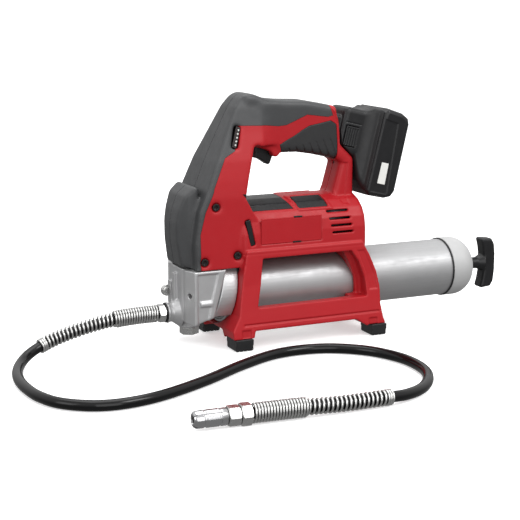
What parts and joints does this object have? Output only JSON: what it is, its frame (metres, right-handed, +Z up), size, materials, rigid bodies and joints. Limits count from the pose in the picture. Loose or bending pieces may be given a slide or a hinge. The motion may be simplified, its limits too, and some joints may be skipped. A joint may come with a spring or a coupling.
{
  "type": "cordless grease gun",
  "caption": "Battery grease gun: clamshell body and cradle on four feet, cast pump head, grease barrel with pull rod, slide-on battery and flexible hose with coupler.",
  "frame": {"origin": "the point stand_plane: in the plane under the four feet, on the tool's centre plane, 2 mm from the middle of its length without the hose", "axes": "+Z up, +X from the pump head to the pull handle along the barrel, -Y the tool's left side"},
  "size_m": [0.5297, 0.305, 0.2358],
  "materials": {
    "red_shell": "moulded glass-filled nylon, satin",
    "soft_grip": "soft overmoulded elastomer, matte",
    "black_plastic": "textured black nylon",
    "cast_aluminium": "as-cast and tumbled, satin",
    "cap_casting": "pale matte casting",
    "barrel_steel": "drawn tube, lengthwise brushing",
    "zinc_steel": "bright zinc plate",
    "dark_steel": "black oxide",
    "chrome": "polished plating",
    "rubber": "black rubber, slight gloss"
  },
  "bodies": {
    "tool": {"barrel_collar": "cast_aluminium", "bearing_block": "cast_aluminium", "body_screw_1": "dark_steel", "body_screw_2": "dark_steel", "body_screw_3": "dark_steel", "check_spring": "zinc_steel", "coupler_body": "zinc_steel", "coupler_sleeve": "chrome", "crank_bearing": "zinc_steel", "fuel_gauge": "black_plastic", "gearbox_case": "zinc_steel", "hose": "rubber", "hose_end_hex": "dark_steel", "hose_guard_inlet": "zinc_steel", "hose_guard_outlet": "zinc_steel", "hose_inlet_nut": "zinc_steel", "left_finger_grip": "soft_grip", "left_front_foot": "rubber", "left_grip_skin": "soft_grip", "left_housing": "red_shell", "left_rating_plate": "black_plastic", "left_rear_foot": "rubber", "left_side_panel": "red_shell", "motor_can": "zinc_steel", "motor_cover": "soft_grip", "motor_leads": "rubber", "outlet_seal": "rubber", "pump_bore_plug": "zinc_steel", "pump_head": "cast_aluminium", "right_finger_grip": "soft_grip", "right_front_foot": "rubber", "right_grip_skin": "soft_grip", "right_housing": "red_shell", "right_rating_plate": "black_plastic", "right_rear_foot": "rubber", "right_side_panel": "red_shell", "strap_eye": "zinc_steel", "terminal_block": "black_plastic", "trigger_pin": "zinc_steel", "trigger_switch": "black_plastic"},
    "trigger": {"trigger": "black_plastic"},
    "battery": {"battery_stem": "soft_grip", "battery_case": "black_plastic", "battery_cell_1": "zinc_steel", "battery_cell_2": "zinc_steel", "battery_cell_3": "zinc_steel"},
    "left_latch": {"left_battery_latch": "black_plastic"},
    "right_latch": {"right_battery_latch": "black_plastic"},
    "barrel": {"barrel_tube": "barrel_steel", "barrel_seal": "rubber", "barrel_end_cap": "cap_casting", "follower_spring": "zinc_steel"},
    "follower": {"follower": "rubber"},
    "rod": {"follower_rod": "zinc_steel", "pull_handle": "black_plastic"},
    "rotor": {"motor_shaft": "dark_steel"},
    "crank": {"crankshaft": "dark_steel"},
    "pump": {"plunger_yoke": "dark_steel", "pump_plunger": "zinc_steel"},
    "outlet_check": {"check_ball": "zinc_steel"}
  },
  "joints": [
    {"name": "trigger_squeeze", "type": "hinge", "parent": "tool", "child": "trigger", "pos_m": [-0.0915, 0, 0.187], "axis": [0, -1, 0], "range_deg": [0, 8], "stiffness_Nm_per_rad": 0.6, "springref_deg": -17.19},
    {"name": "battery_slide", "type": "slide", "parent": "tool", "child": "battery", "axis": [0.9715, 0, -0.2368], "range_m": [0, 0.06]},
    {"name": "left_latch_press", "type": "slide", "parent": "battery", "child": "left_latch", "axis": [0, 1, 0], "range_m": [0, 0.0015], "stiffness_N_per_m": 900, "springref_m": -0.002},
    {"name": "right_latch_press", "type": "slide", "parent": "battery", "child": "right_latch", "axis": [0, -1, 0], "range_m": [0, 0.0015], "stiffness_N_per_m": 900, "springref_m": -0.002},
    {"name": "barrel_slide", "type": "slide", "parent": "tool", "child": "barrel", "axis": [1, 0, 0], "range_m": [0, 0.26]},
    {"name": "follower_slide", "type": "slide", "parent": "barrel", "child": "follower", "axis": [1, 0, 0], "range_m": [0, 0.19], "stiffness_N_per_m": 120, "springref_m": -0.12, "deforming": ["follower_spring"]},
    {"name": "rod_turn", "type": "hinge", "parent": "follower", "child": "rod", "pos_m": [0, 0, 0.0497], "axis": [1, 0, 0], "continuous": true},
    {"name": "crank_spin", "type": "hinge", "parent": "tool", "child": "crank", "pos_m": [-0.13, 0, 0.106], "axis": [1, 0, 0], "continuous": true},
    {"name": "motor_spin", "type": "hinge", "parent": "tool", "child": "rotor", "pos_m": [-0.05, 0, 0.106], "axis": [1, 0, 0], "continuous": true},
    {"name": "pump_stroke", "type": "slide", "parent": "tool", "child": "pump", "axis": [0, 0, 1], "range_m": [-0.005, 0.005]},
    {"name": "check_ball_lift", "type": "slide", "parent": "tool", "child": "outlet_check", "axis": [-1, 0, 0], "range_m": [0, 0.0012], "stiffness_N_per_m": 60, "springref_m": -0.002, "deforming": ["check_spring"]}
  ],
  "couplings": [
    {"joint": "motor_spin", "follows": "crank_spin", "ratio": 25}
  ]
}
